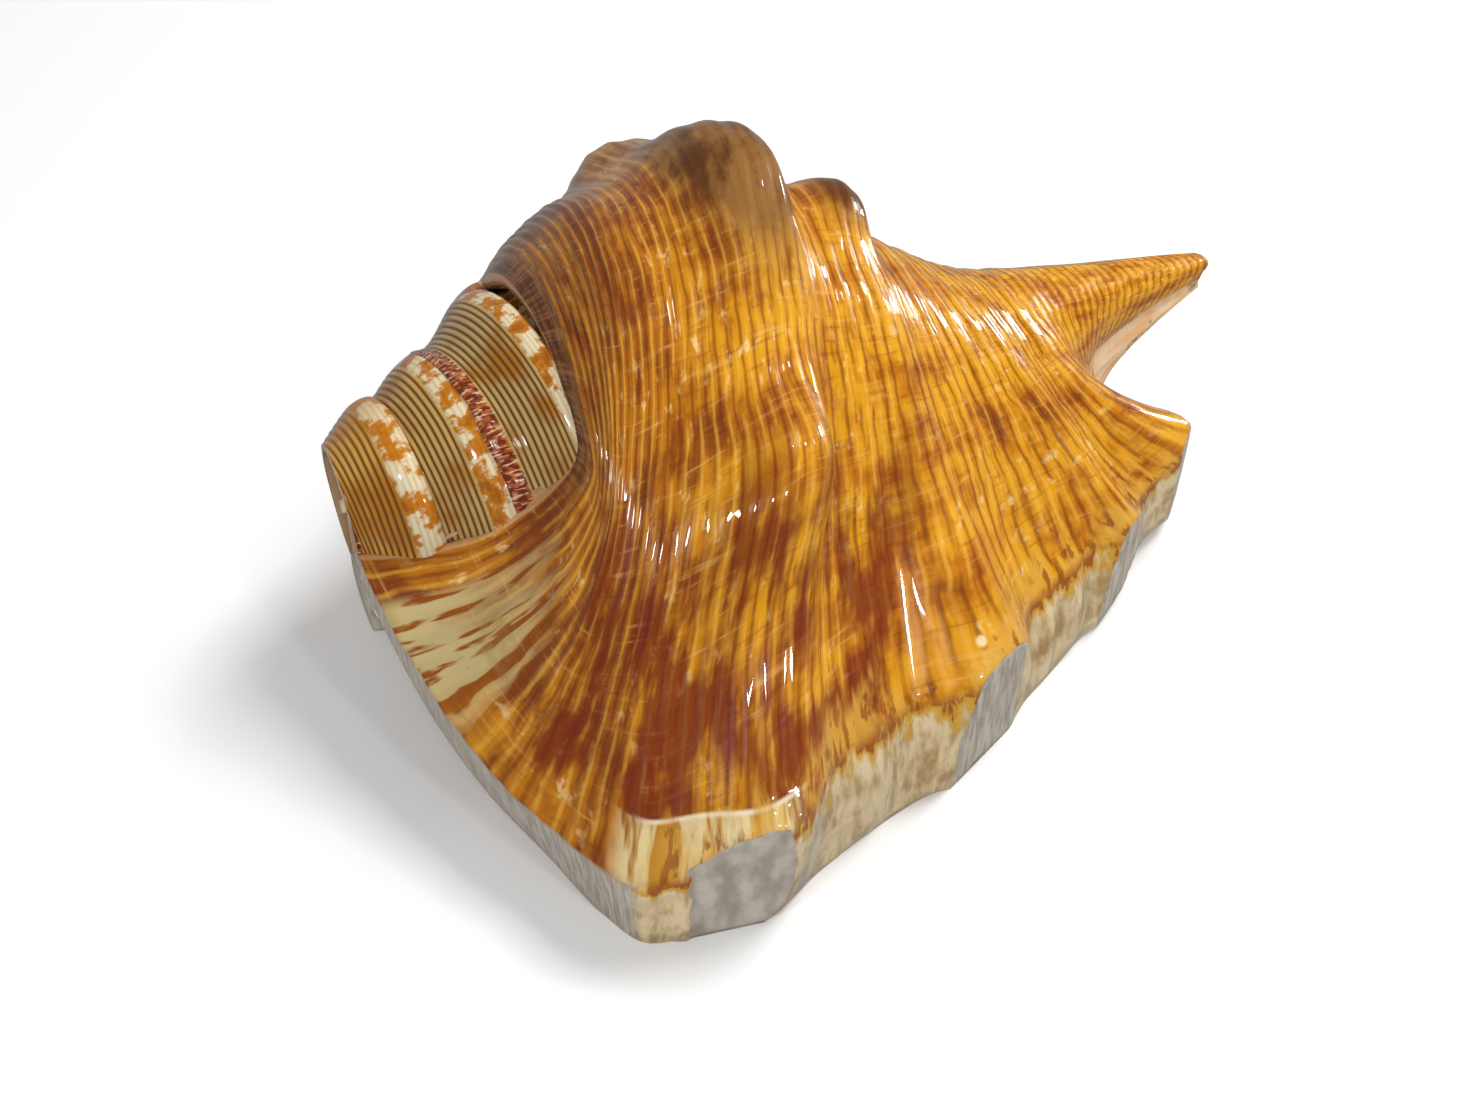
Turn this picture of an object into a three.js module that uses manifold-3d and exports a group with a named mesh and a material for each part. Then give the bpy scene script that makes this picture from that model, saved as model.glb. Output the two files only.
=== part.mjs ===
// Polished spider conch shell, a large sea snail's shell, lying on its aperture.
// Millimetres. +X runs along the coil axis towards the siphonal canal, +Z is the
// shell's back, -Y is the outer lip. The ground is z = 0.
//
// The shell is one body: a limy sheet that coils round its axis by a logarithmic
// spiral, flares into a thick lip, and has been sawn and ground flat at the apex,
// at the lip's rear edge and at the stumps of its fingers.

import * as THREE from 'three';
import { ParametricGeometry } from 'three/addons/geometries/ParametricGeometry.js';
import { mergeVertices } from 'three/addons/utils/BufferGeometryUtils.js';
import Module from 'manifold-3d';

// ---------------------------------------------------------------- dimensions
const AXIS_HEIGHT = 41;          // coil axis above the ground
const APEX_X = -110.6;           // where the spire's cone would come to a point
const CONE_SLOPE = 0.627;        // spire radius per mm along the axis
const GROWTH = 1.5;              // size ratio of one turn to the turn before it
const LIP_START = -45;           // growth angle where the flared lip begins
const SHEET_START = -255;        // growth angle of the last whorl's first edge
const CANAL_START = -310;        // the same at the canal, where it rolls in to the core
const APEX_CUT_X = -92;          // sawn end of the spire, on the axis
const APEX_CUT_TILT = 2;         // degrees
const GROUND_TRIM = 0.8;         // depth worn flat where the shell rests
const FINEST = 0.12;             // facets closer than this to their neighbours are joined
const SHIFT_X = -6.69;           // puts the box's centre over the origin
const SHIFT_Y = 22.06;

// Profile of the last whorl at LIP_START: x along the axis and radius, keyed by
// U, which runs from the suture to the canal's tip.
const PROFILE_U = [0.00, 0.12, 0.27, 0.36, 0.44, 0.54, 0.64, 0.72, 0.80, 0.88, 0.94, 1.00];
const PROFILE_X = [-52.4, -44.5, -33.0, -22.0, -10.0, 3.0, 14.0, 22.0, 31.0, 44.0, 60.0, 100.0];
const PROFILE_R = [36.5, 43.0, 48.0, 48.3, 47.6, 43.5, 36.0, 29.0, 21.8, 14.6, 10.6, 3.6];
const WALL_U = [0.0, 0.1, 0.7, 0.88, 0.94, 1.0];
const WALL = [2.6, 3.2, 3.2, 2.4, 1.9, 1.1];

// Distance of the suture from the spire's virtual point, keyed by growth angle.
const SUTURE_PHI = [-1340, -1145, -960, -767, -713, -661, -500, -388, -361, -333, -298, -200, -90, -45];
const SUTURE_D = [9.0, 13.0, 17.8, 23.6, 26.1, 28.4, 34.6, 40.0, 42.4, 45.0, 47.4, 51.5, 56.0, 58.2];

// The way the lip's upper edge climbs back over the spire.
const CLIMB_T = [0.0, 0.16, 0.32, 0.48, 0.60, 0.70, 0.80, 0.90, 1.0];
const CLIMB_X = [-52.4, -51.2, -50.3, -50.1, -51.2, -56.5, -66.0, -79.5, -92.5];
const CLIMB_PHI = [-45, -22, 2, 26, 46, 55, 65.5, 79.5, 92];

// The lip's margin: upper and lower edge, x, y, and z from the coil axis.
const MARGIN_U = [0.00, 0.05, 0.10, 0.16, 0.22, 0.29, 0.34, 0.375, 0.41, 0.48, 0.56,
  0.62, 0.66, 0.70, 0.76, 0.82, 0.87, 0.91, 0.94, 0.96, 0.98, 1.00];
const MARGIN_TOP = [[-92.5, -11.4, -0.5], [-91.5, -20, -3], [-90, -31, -6.5], [-87, -42, -12],
  [-83, -56, -16], [-76, -72, -19.5], [-69.5, -85, -20], [-63, -93.5, -20.5], [-52, -96, -17],
  [-34, -95, -11], [-13, -82, -12], [4, -76, -15], [18, -71, -16], [28, -64, -17],
  [43, -56, -18], [60, -48, -18], [70, -42, -19], [83.5, -32.5, -16], [73, -19, -12.5],
  [75, -10.5, -9.5], [86, -5.5, -5], [104, -1.5, -0.5]];
const MARGIN_BOTTOM = [[-92.5, -12, -2.5], [-92, -20.0, -7.5], [-90, -30, -15], [-86.5, -41, -25],
  [-81.5, -55, -31.5], [-74, -71, -37], [-68.5, -84, -40.5], [-63.5, -93, -42],
  [-56, -95, -42], [-40, -95.5, -42], [-13, -86.5, -42], [2, -82, -42], [13, -77.5, -41.5],
  [27, -70.5, -41], [42, -62.5, -40], [58, -52.5, -38], [71, -43.5, -35], [86, -31.5, -35],
  [74.5, -19.5, -24], [77, -11.5, -17], [87, -7.5, -9.5], [104, -3, -3]];

// The brink between the aperture and the lip's underside.
const BRINK_U = [0.0, 0.20, 0.40, 0.60, 0.75, 0.88, 0.95, 1.0];
const BRINK = [[-92.3, -15.5, -5], [-76, -40, -15], [-42, -54, -19], [-5, -51, -20],
  [24, -39, -20], [50, -26, -18], [67, -14, -12], [103.5, -2.6, -2.6]];

// Thickness of the lip's roof, keyed by its way t from LIP_START to the margin.
const ROOF_T = [0.0, 0.2, 0.4, 0.65];
const ROOF = [1.0, 1.2, 1.6, 2.6];

// Knobs: growth angle, half-width in degrees, height.
const SHOULDER_KNOBS = [[-165, 20, 3], [-106, 15, 9], [-61, 17, 13], [-16, 24, 12.5], [62, 14, 10]];
const SECOND_KNOBS = [[-60, 16, 2.5], [-13, 18, 7.5]];
// Fingers cut short: U, reach of the bulge, half-width in U.
const FINGERS = [[0.455, 3.5, 0.035], [0.66, 6.5, 0.028], [0.82, 4.5, 0.020], [0.912, 3.0, 0.016]];

// Faces ground on the stumps: centre (z from the axis), outward heading in
// degrees from +X, width, height.
const GROUND_FACES = [
  [[-42, -97.5, -26], 262, 26, 44],
  [[-20, -91.0, -26], 292, 20, 44],
  [[17.5, -77.5, -28], 297, 24, 36],
  [[60.5, -53.0, -26], 304, 18, 36],
  [[86.5, -33.0, -24], 318, 15, 40],
];

// Columella: x and radius of the solid core.
const CORE = [[-97, 1.2], [-80, 1.8], [-60, 2.8], [-30, 4.4], [0, 6.2], [30, 7.0], [55, 5.2], [76, 3.2], [88, 2.0]];

// Callus pad beside the rear end of the aperture: x, radius from the axis,
// growth angle, thickness radius.
const CALLUS = [[-54, 30.5, 172, 4.5], [-60, 29, 169, 6.5], [-68, 25.5, 165, 8.0],
  [-80, 22, 160, 8.6], [-91, 19.5, 156, 8.2], [-100, 17, 153, 7.8]];

// ------------------------------------------------------------------- helpers
const rad = (degrees) => degrees * Math.PI / 180;
const mix = (a, b, w) => a + (b - a) * w;
const clamp01 = (v) => Math.min(1, Math.max(0, v));
function smooth(a, b, v) {
  const w = clamp01((v - a) / (b - a));
  return w * w * (3 - 2 * w);
}
const hermite = (t, a, b, ma, mb) => (2 * t ** 3 - 3 * t * t + 1) * a + (t ** 3 - 2 * t * t + t) * ma
  + (-2 * t ** 3 + 3 * t * t) * b + (t ** 3 - t * t) * mb;

// A smooth curve through keys; at each key the slope is the weighted mean of
// the slopes either side of it.
function keyed(keys, values, at) {
  const last = keys.length - 1;
  const x = Math.min(keys[last], Math.max(keys[0], at));
  let i = 0;
  while (i < last - 1 && x > keys[i + 1]) i++;
  const secant = (k) => (values[k + 1] - values[k]) / (keys[k + 1] - keys[k]);
  const slope = (k) => {
    if (k === 0) return secant(0);
    if (k === last) return secant(last - 1);
    const before = keys[k] - keys[k - 1], after = keys[k + 1] - keys[k];
    return (secant(k - 1) * after + secant(k) * before) / (before + after);
  };
  const step = keys[i + 1] - keys[i];
  return hermite((x - keys[i]) / step, values[i], values[i + 1], slope(i) * step, slope(i + 1) * step);
}
const keyedPoint = (keys, points, at) => new THREE.Vector3(
  ...[0, 1, 2].map((k) => keyed(keys, points.map((p) => p[k]), at)));

// From along-axis x, radius and growth angle to a point about the coil axis.
const turned = (x, r, phi) => new THREE.Vector3(x, -r * Math.sin(rad(phi)), r * Math.cos(rad(phi)));
const angleOf = (p) => Math.atan2(-p.y, p.z) * 180 / Math.PI;
const radiusOf = (p) => Math.hypot(p.y, p.z);

// ------------------------------------------------------------- coiled whorls
// Radius and x on the whorl's profile. Young whorls keep to the spire's cone
// between sutures; the last one is rounder.
function whorl(u, phi, lastOne = true) {
  const x0 = keyed(PROFILE_U, PROFILE_X, u);
  const round = keyed(PROFILE_U, PROFILE_R, u);
  const ownSuture = keyed(SUTURE_PHI, SUTURE_D, phi);
  const nextSuture = phi > -405 ? 1.42 : keyed(SUTURE_PHI, SUTURE_D, phi + 360) / ownSuture;
  const band = (x0 - PROFILE_X[0]) / ((nextSuture - 1) * (PROFILE_X[0] - APEX_X));
  const swell = 1 - 0.045 * Math.sin(2 * Math.PI * clamp01(band)) - 0.07 * smooth(1, 1.25, band);
  const spire = mix(CONE_SLOPE * (x0 - APEX_X) * swell, round, smooth(0.38, 0.60, u));
  const r0 = mix(spire, round, smooth(-330, -120, phi));
  const size = GROWTH ** ((phi - LIP_START) / 360);
  const pitch = ownSuture / SUTURE_D[SUTURE_D.length - 1];
  const canal = lastOne ? smooth(0.70, 0.95, u) : 0;
  const scale = mix(mix(pitch, size, smooth(0.2, 0.5, u)), 1, canal);
  const young = 1 + 0.12 * smooth(-820, -1080, phi);
  return [APEX_X + (x0 - APEX_X) * scale, r0 * scale * young];
}

// ------------------------------------------------------------------ the lip
function baseEdge(t) {
  const k = Math.log(GROWTH) / 360;
  const end = new THREE.Vector3(...MARGIN_TOP[0]);
  const turn = angleOf(end) - LIP_START;
  const x0 = PROFILE_X[0], r0 = PROFILE_R[0];
  return [
    hermite(t, x0, end.x, (x0 - APEX_X) * k * turn, (end.x - x0) * 2.2),
    hermite(t, r0, radiusOf(end), r0 * k * turn, (radiusOf(end) - r0) * 2.0),
    hermite(t, LIP_START, angleOf(end), turn * 1.25, turn * 0.45),
  ];
}

// x, radius and growth angle on the lip's back, from the whorl (t = 0) to the
// margin (t = 1).
function lip(u, t) {
  const k = Math.log(GROWTH) / 360;
  const [x0, r0] = whorl(u, LIP_START);
  const end = keyedPoint(MARGIN_U, MARGIN_TOP, u);
  const turn = angleOf(end) - LIP_START;
  const reachX = keyed([0, 0.2, 0.4, 0.7, 0.84, 0.92, 0.97, 1], [2.2, 2.0, 1.8, 1.6, 2.2, 3.4, 2.0, 1.4], u);
  const reachR = keyed([0, 0.2, 0.4, 0.7, 0.9, 1], [2.0, 2.4, 3.6, 3.6, 2.4, 1.5], u);
  let x = hermite(t, x0, end.x, (x0 - APEX_X) * k * turn, (end.x - x0) * reachX);
  let r = hermite(t, r0, radiusOf(end), r0 * k * turn, (radiusOf(end) - r0) * reachR);
  let phi = hermite(t, LIP_START, angleOf(end), turn * 1.25, turn * 0.45);
  const near = 1 - smooth(0, 0.30, u);
  const [bx, br, bphi] = baseEdge(t);
  const cx = keyed(CLIMB_T, CLIMB_X, t), cphi = keyed(CLIMB_T, CLIMB_PHI, t);
  x += near * (cx - bx);
  phi += near * (cphi - bphi);
  r += near * (CONE_SLOPE * (cx - APEX_X) - br);
  return [x, r, phi];
}

// Way along the sheet v: 0 at its first edge, LIP_V where the lip begins, 1 at
// the margin.
const LIP_V = 0.42;
function place(u, v) {
  if (v <= LIP_V) {
    const rolled = smooth(0.50, 0.68, u);
    const start = mix(SHEET_START, CANAL_START, rolled);
    const phi = mix(start, LIP_START, v / LIP_V);
    const [x, r] = whorl(u, phi);
    const hub = Math.min(0.85 * keyed(CORE.map((c) => c[0]), CORE.map((c) => c[1]), x), 0.75 * r);
    return [x, mix(r, mix(hub, r, smooth(-322, -225, phi)), rolled), phi];
  }
  return lip(u, (v - LIP_V) / (1 - LIP_V));
}

// ------------------------------------------------------------------- relief
const bump = (list, phi) => list.reduce((sum, [at, half, height]) => sum
  + height * Math.exp(-(((phi - at) / half) ** 2)), 0);
const ridge = (d, behind, ahead) => Math.exp(-(d < 0 ? (d / behind) ** 2 : (d / ahead) ** 4));

function relief(u, phi, t) {
  const shoulder = keyed([-255, -120, -58, -16, 60, 90, 110], [0.36, 0.38, 0.405, 0.470, 0.462, 0.45, 0.44], phi);
  const second = keyed([-100, -12, 40, 78, 100], [0.59, 0.636, 0.625, 0.622, 0.655], phi);
  const swell = bump(SHOULDER_KNOBS, phi) + 2.4 * smooth(-30, 30, phi) * (1 - 0.5 * smooth(0.75, 1, t));
  const swell2 = bump(SECOND_KNOBS, phi) + 1.6 * smooth(0, 40, phi) + 1.8 * smooth(0.7, 1, t);
  const out = smooth(0.45, 0.95, t);
  const ramp = -1.4 * smooth(-25, 25, phi) * Math.exp(-(((u - 0.21) / 0.11) ** 2)) * (1 - smooth(0.5, 0.8, t));
  return ramp + swell * ridge(u - shoulder, 0.075, 0.062)
    + swell2 * ridge(u - second, 0.04, 0.046)
    + 2.2 * out * ridge(u - 0.82, 0.03, 0.025)
    + 2.0 * out * ridge(u - 0.912, 0.022, 0.018);
}

function frameAt(at, u, v) {
  const e = 0.004;
  const u0 = Math.max(0, u - e), u1 = Math.min(1, u + e);
  const v0 = Math.max(0, v - e), v1 = Math.min(1, v + e);
  const along = at(u1, v).sub(at(u0, v));
  const round = at(u, v1).sub(at(u, v0));
  return round.cross(along).normalize();
}

// ------------------------------------------------------- the sheet's two faces
const smoothBack = (u, v) => turned(...place(u, v));

// Outward push of the finger stumps, near the margin only.
function fingerPush(u, nearness) {
  const reach = FINGERS.reduce((sum, [at, height, half]) => sum
    + height * Math.exp(-(((u - at) / half) ** 2)), 0);
  const a = keyedPoint(MARGIN_U, MARGIN_BOTTOM, Math.max(0, u - 0.03));
  const b = keyedPoint(MARGIN_U, MARGIN_BOTTOM, Math.min(1, u + 0.03));
  const out = new THREE.Vector3(b.y - a.y, -(b.x - a.x), 0).normalize();
  return out.multiplyScalar(reach * nearness);
}

function back(u, v) {
  const p = smoothBack(u, v);
  const [, , phi] = place(u, v);
  const t = v <= LIP_V ? 0 : (v - LIP_V) / (1 - LIP_V);
  const sink = u < 0.015 ? -1.2 * (1 - u / 0.015) : 0;
  p.addScaledVector(frameAt(smoothBack, u, v), relief(u, phi, t) + sink);
  return p.add(fingerPush(u, t ** 8));
}

function wallAt(u, v) {
  const [, , phi] = place(u, v);
  return keyed(WALL_U, WALL, u) * (v < LIP_V ? Math.max(0.75, GROWTH ** ((phi - LIP_START) / 360)) : 1);
}

// Inner face: under the lip it leaves the roof, rounds the cavity's outer wall,
// turns at the brink and runs out under the lip to the margin's lower edge.
const FACE_T = [0, 0.20, 0.40, 0.58, 0.72, 0.86, 1];
function face(u, v) {
  if (v <= LIP_V) {
    return smoothBack(u, v).addScaledVector(frameAt(smoothBack, u, v), -wallAt(u, v));
  }
  const s = (v - LIP_V) / (1 - LIP_V);
  const roof = (t) => {
    const at = LIP_V + t * (1 - LIP_V);
    return smoothBack(u, at).addScaledVector(frameAt(smoothBack, u, at), -wallAt(u, at) * keyed(ROOF_T, ROOF, t));
  };
  const brink = keyedPoint(BRINK_U, BRINK, u);
  const bottom = keyedPoint(MARGIN_U, MARGIN_BOTTOM, u);
  const under = brink.clone().lerp(bottom, 0.5);
  under.z += 4 * Math.sin(Math.PI * clamp01(u));
  const stops = [roof(0), roof(0.20), roof(0.42), roof(0.62), brink, under, bottom];
  return keyedPoint(FACE_T, stops.map((p) => p.toArray()), s).add(fingerPush(u, s ** 8));
}

// ------------------------------------------------------------ closed surfaces
const spread = (count) => Array.from({ length: count + 1 }, (_, i) => i / count);

// A loop out along one face and back along the other at each u; the two end
// loops fold shut on their middle line.
function sheet(outer, inner, us, vs) {
  const loop = [...vs.map((v) => [outer, v]), ...vs.slice().reverse().map((v) => [inner, v])];
  const rows = [us[0], ...us, us[us.length - 1]];
  const grid = rows.map((u, i) => loop.map(([side, v]) => (i === 0 || i === rows.length - 1
    ? outer(u, v).add(inner(u, v)).multiplyScalar(0.5) : side(u, v))));
  const stacks = loop.length;
  const slices = rows.length - 1;
  return new ParametricGeometry((a, b, target) => {
    target.copy(grid[Math.round(a * slices)][Math.round(b * stacks) % stacks]);
  }, slices, stacks);
}

const wasm = await Module();
wasm.setup();

function solid(geometry) {
  const bare = geometry.clone();
  bare.deleteAttribute('normal');
  bare.deleteAttribute('uv');
  const merged = mergeVertices(bare, 1e-4);
  const index = merged.index.array;
  const triangles = [];
  for (let i = 0; i < index.length; i += 3) {
    const [a, b, c] = [index[i], index[i + 1], index[i + 2]];
    if (a !== b && b !== c && c !== a) triangles.push(a, b, c);
  }
  const make = (list) => new wasm.Manifold(new wasm.Mesh({
    numProp: 3,
    vertProperties: new Float32Array(merged.attributes.position.array),
    triVerts: new Uint32Array(list),
  }));
  const made = make(triangles);
  if (made.volume() > 0) return made;
  for (let i = 0; i < triangles.length; i += 3) [triangles[i], triangles[i + 1]] = [triangles[i + 1], triangles[i]];
  return make(triangles);
}

// ------------------------------------------------------------------- pieces
const lastWhorl = () => solid(sheet(back, face,
  [0, 0.015, ...spread(34).slice(1).map((w) => mix(0.015, 1, w))],
  [...spread(10).map((w) => w * LIP_V), ...spread(16).slice(1).map((w) => mix(LIP_V, 1, w))]));

function youngWhorl(from, to) {
  const at = (u, v) => {
    const phi = mix(from, to, v);
    return turned(...whorl(u, phi, false), phi);
  };
  const outer = (u, v) => {
    const sink = u < 0.02 ? -0.5 : 0;
    return at(u, v).addScaledVector(frameAt(at, u, v), sink);
  };
  const inner = (u, v) => {
    const size = GROWTH ** ((mix(from, to, v) - LIP_START) / 360);
    return at(u, v).addScaledVector(frameAt(at, u, v), -Math.max(0.7, keyed(WALL_U, WALL, u) * size));
  };
  const us = [0, 0.02, 0.1, 0.18, 0.26, 0.34, 0.44, 0.54, 0.64, 0.74, 0.86, 1];
  return solid(sheet(outer, inner, us, spread(16)));
}

function core() {
  const outline = [new THREE.Vector2(0, CORE[0][0]), ...CORE.map(([x, r]) => new THREE.Vector2(r, x)),
    new THREE.Vector2(0, CORE[CORE.length - 1][0])];
  const lathe = new THREE.LatheGeometry(outline, 10);
  lathe.rotateZ(-Math.PI / 2);
  return solid(lathe);
}

function callus() {
  const s = spread(7);
  const path = s.map((w) => {
    const k = spread(CALLUS.length - 1);
    const [x, r, phi, thick] = [0, 1, 2, 3].map((j) => keyed(k, CALLUS.map((c) => c[j]), w));
    return { centre: turned(x, r, phi), thick };
  });
  const rows = path.length + 1;
  const round = 12;
  const pad = new ParametricGeometry((a, b, target) => {
    const i = Math.round(a * rows);
    const { centre, thick } = path[Math.min(path.length - 1, Math.max(0, i - 1))];
    const w = 2 * Math.PI * (Math.round(b * round) % round) / round;
    const size = i === 0 || i === rows ? 0 : thick;
    target.set(centre.x, centre.y + size * Math.cos(w), centre.z + size * Math.sin(w));
  }, rows, round);
  return solid(pad);
}

// A block whose inner face is a ground face, to take away what stands past it.
function grinder([[x, y, z], heading, width, height]) {
  const block = new THREE.BoxGeometry(16, width, height);
  block.translate(8, 0, 0);
  block.rotateZ(rad(heading));
  block.translate(x, y, z);
  return solid(block);
}

function keepAbove(z) {
  const slab = new THREE.BoxGeometry(400, 400, 60);
  slab.translate(0, 0, z - 30);
  return solid(slab);
}

function apexSaw() {
  const block = new THREE.BoxGeometry(60, 120, 120);
  block.translate(-30, 0, 0);
  block.rotateZ(rad(APEX_CUT_TILT));
  block.rotateY(rad(APEX_CUT_TILT));
  block.translate(APEX_CUT_X, 0, 0);
  return solid(block);
}

// ----------------------------------------------------------------- assembly
let body = lastWhorl();
for (const [from, to] of [[-610, -250], [-965, -605], [-1310, -960]]) body = body.add(youngWhorl(from, to));
body = body.add(core()).add(callus());
body = body.subtract(apexSaw());
for (const groundFace of GROUND_FACES) body = body.subtract(grinder(groundFace));
body = body.subtract(keepAbove(GROUND_TRIM - AXIS_HEIGHT));

// Where two walls of the coil only just touch, each is drawn back into itself,
// so that no edge belongs to both. Hollows shut in by this are filled.
function partTouching(made) {
  const mesh = made.getMesh();
  const shape = new THREE.BufferGeometry();
  shape.setAttribute('position', new THREE.BufferAttribute(new Float32Array(mesh.vertProperties), 3));
  shape.setIndex(new THREE.BufferAttribute(new Uint32Array(mesh.triVerts), 1));
  shape.computeVertexNormals();
  const points = shape.attributes.position, normals = shape.attributes.normal;
  const at = new Map();
  for (let i = 0; i < points.count; i++) {
    const key = [points.getX(i), points.getY(i), points.getZ(i)].map((c) => Math.round(c * 500)).join();
    at.set(key, [...(at.get(key) ?? []), i]);
  }
  for (const same of at.values()) {
    if (same.length < 2) continue;
    for (const i of same) {
      points.setXYZ(i, points.getX(i) - 0.03 * normals.getX(i), points.getY(i) - 0.03 * normals.getY(i),
        points.getZ(i) - 0.03 * normals.getZ(i));
    }
  }
  return new wasm.Manifold(new wasm.Mesh({
    numProp: 3, vertProperties: new Float32Array(points.array), triVerts: new Uint32Array(shape.index.array),
  }));
}
const largest = (made) => made.decompose().sort((a, b) => b.volume() - a.volume())[0];

body = largest(partTouching(largest(body).simplify(FINEST)).simplify(FINEST / 2));
const mesh = body.getMesh();
// A few microns of unevenness, so that no corner lies exactly on another edge.
const uneven = (value, i) => (i % 3 === 2 ? value : value + 0.005 * Math.sin(12.9898 * i + 0.37 * value));
const geometry = new THREE.BufferGeometry();
geometry.setAttribute('position', new THREE.BufferAttribute(new Float32Array(mesh.vertProperties).map(uneven), 3));
geometry.setIndex(new THREE.BufferAttribute(new Uint32Array(mesh.triVerts), 1));
geometry.computeVertexNormals();

const shell = new THREE.Mesh(geometry, new THREE.MeshStandardMaterial({
  color: new THREE.Color(0.66, 0.40, 0.16), roughness: 0.22, metalness: 0,
}));
shell.name = 'shell';
shell.position.set(SHIFT_X, SHIFT_Y, AXIS_HEIGHT - GROUND_TRIM);

const group = new THREE.Group();
group.add(shell);
export default group;
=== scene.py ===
"""A polished spider conch, lying on its aperture on a pale table."""

import math

import bpy
import numpy as np
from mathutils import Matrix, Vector


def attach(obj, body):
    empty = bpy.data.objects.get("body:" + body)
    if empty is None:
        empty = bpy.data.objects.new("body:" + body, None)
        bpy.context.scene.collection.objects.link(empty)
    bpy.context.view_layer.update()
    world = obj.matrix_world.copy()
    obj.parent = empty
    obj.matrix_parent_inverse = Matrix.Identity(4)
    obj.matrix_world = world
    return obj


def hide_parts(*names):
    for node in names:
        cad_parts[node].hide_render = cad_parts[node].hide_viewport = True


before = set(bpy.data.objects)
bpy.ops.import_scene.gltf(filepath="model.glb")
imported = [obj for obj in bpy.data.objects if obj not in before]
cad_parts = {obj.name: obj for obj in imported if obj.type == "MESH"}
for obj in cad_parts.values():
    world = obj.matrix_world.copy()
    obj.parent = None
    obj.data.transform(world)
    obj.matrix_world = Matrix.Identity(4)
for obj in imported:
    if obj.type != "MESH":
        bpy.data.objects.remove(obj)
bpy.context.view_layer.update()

# ------------------------------------------------------------------ the camera
# The viewpoint: above the lip and a little towards the sawn spire, looking down
# at about 48 degrees.
CAMERA_AT = (-0.13027, -0.2670, 0.3377)
LOOKS_AT = (-0.02792, -0.01367, 0.03424)
LENS_MM = 50.0
SENSOR_MM = 36.0

camera = bpy.data.objects.new("camera", bpy.data.cameras.new("camera"))
camera.data.lens = LENS_MM
camera.data.sensor_width = SENSOR_MM
camera.location = CAMERA_AT
camera.rotation_euler = (Vector(LOOKS_AT) - Vector(CAMERA_AT)).to_track_quat("-Z", "Y").to_euler()
bpy.context.scene.collection.objects.link(camera)
bpy.context.scene.camera = camera

# ------------------------------------------------------------------- the shell
# The shell of a large sea snail: one limy sheet that grew round a slender pillar,
# each turn half as large again as the one before, and flared at last into a thick
# lip with fingers. It was sawn at the apex, the lip's rear edge and the fingers,
# polished all over and lacquered.
MM = 0.001
AXIS = np.array([-6.69, 22.06, 40.2])     # a point of the coil axis, which runs along X, in mm
GROUND = -AXIS[2]
APEX_X = -110.6                           # where the spire's cone would come to a point
SAWN_APEX_X = -92.0
CONE_SLOPE = 0.627                        # the spire's radius over the way from that point
GROWTH = 1.5                              # size of one turn over the turn before it
LIP_START = -45.0                         # growth angle where the flared lip begins
LIP_V = 0.42                              # and its place along the sheet
SHEET_START = -255.0                      # where the last whorl comes out from under the lip
CANAL_START = -310.0                      # and where its canal end does
LAST_SUTURE = -405.0                      # past this growth angle no later suture is left,
OPEN_GROWTH = 1.42                        # and the band is this much of its own suture's way

# The whorl's profile at LIP_START: u from the suture to the canal's tip, way
# along the axis, radius and wall.
PROFILE_U = [0.00, 0.12, 0.27, 0.36, 0.44, 0.54, 0.64, 0.72, 0.80, 0.88, 0.94, 1.00]
PROFILE_X = [-52.4, -44.5, -33.0, -22.0, -10.0, 3.0, 14.0, 22.0, 31.0, 44.0, 60.0, 100.0]
PROFILE_R = [36.5, 43.0, 48.0, 48.3, 47.6, 43.5, 36.0, 29.0, 21.8, 14.6, 10.6, 3.6]
WALL_U = [0.0, 0.1, 0.7, 0.88, 0.94, 1.0]
WALL = [2.6, 3.2, 3.2, 2.4, 1.9, 1.1]
# Way of the suture from the cone's point, by growth angle.
SUTURE_PHI = [-1340, -1145, -960, -767, -713, -661, -500, -388, -361, -333, -298, -200, -90, -45]
SUTURE_D = [9.0, 13.0, 17.8, 23.6, 26.1, 28.4, 34.6, 40.0, 42.4, 45.0, 47.4, 51.5, 56.0, 58.2]
# The lip's upper edge climbs back over the spire.
CLIMB_T = [0.0, 0.16, 0.32, 0.48, 0.60, 0.70, 0.80, 0.90, 1.0]
CLIMB_X = [-52.4, -51.2, -50.3, -50.1, -51.2, -56.5, -66.0, -79.5, -92.5]
CLIMB_PHI = [-45, -22, 2, 26, 46, 55, 65.5, 79.5, 92]
# The margin's upper and lower edge, from the coil axis.
MARGIN_U = [0.00, 0.05, 0.10, 0.16, 0.22, 0.29, 0.34, 0.375, 0.41, 0.48, 0.56,
            0.62, 0.66, 0.70, 0.76, 0.82, 0.87, 0.91, 0.94, 0.96, 0.98, 1.00]
MARGIN_TOP = [[-92.5, -11.4, -0.5], [-91.5, -20, -3], [-90, -31, -6.5], [-87, -42, -12],
              [-83, -56, -16], [-76, -72, -19.5], [-69.5, -85, -20], [-63, -93.5, -20.5], [-52, -96, -17],
              [-34, -95, -11], [-13, -82, -12], [4, -76, -15], [18, -71, -16], [28, -64, -17],
              [43, -56, -18], [60, -48, -18], [70, -42, -19], [83.5, -32.5, -16], [73, -19, -12.5],
              [75, -10.5, -9.5], [86, -5.5, -5], [104, -1.5, -0.5]]
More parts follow.
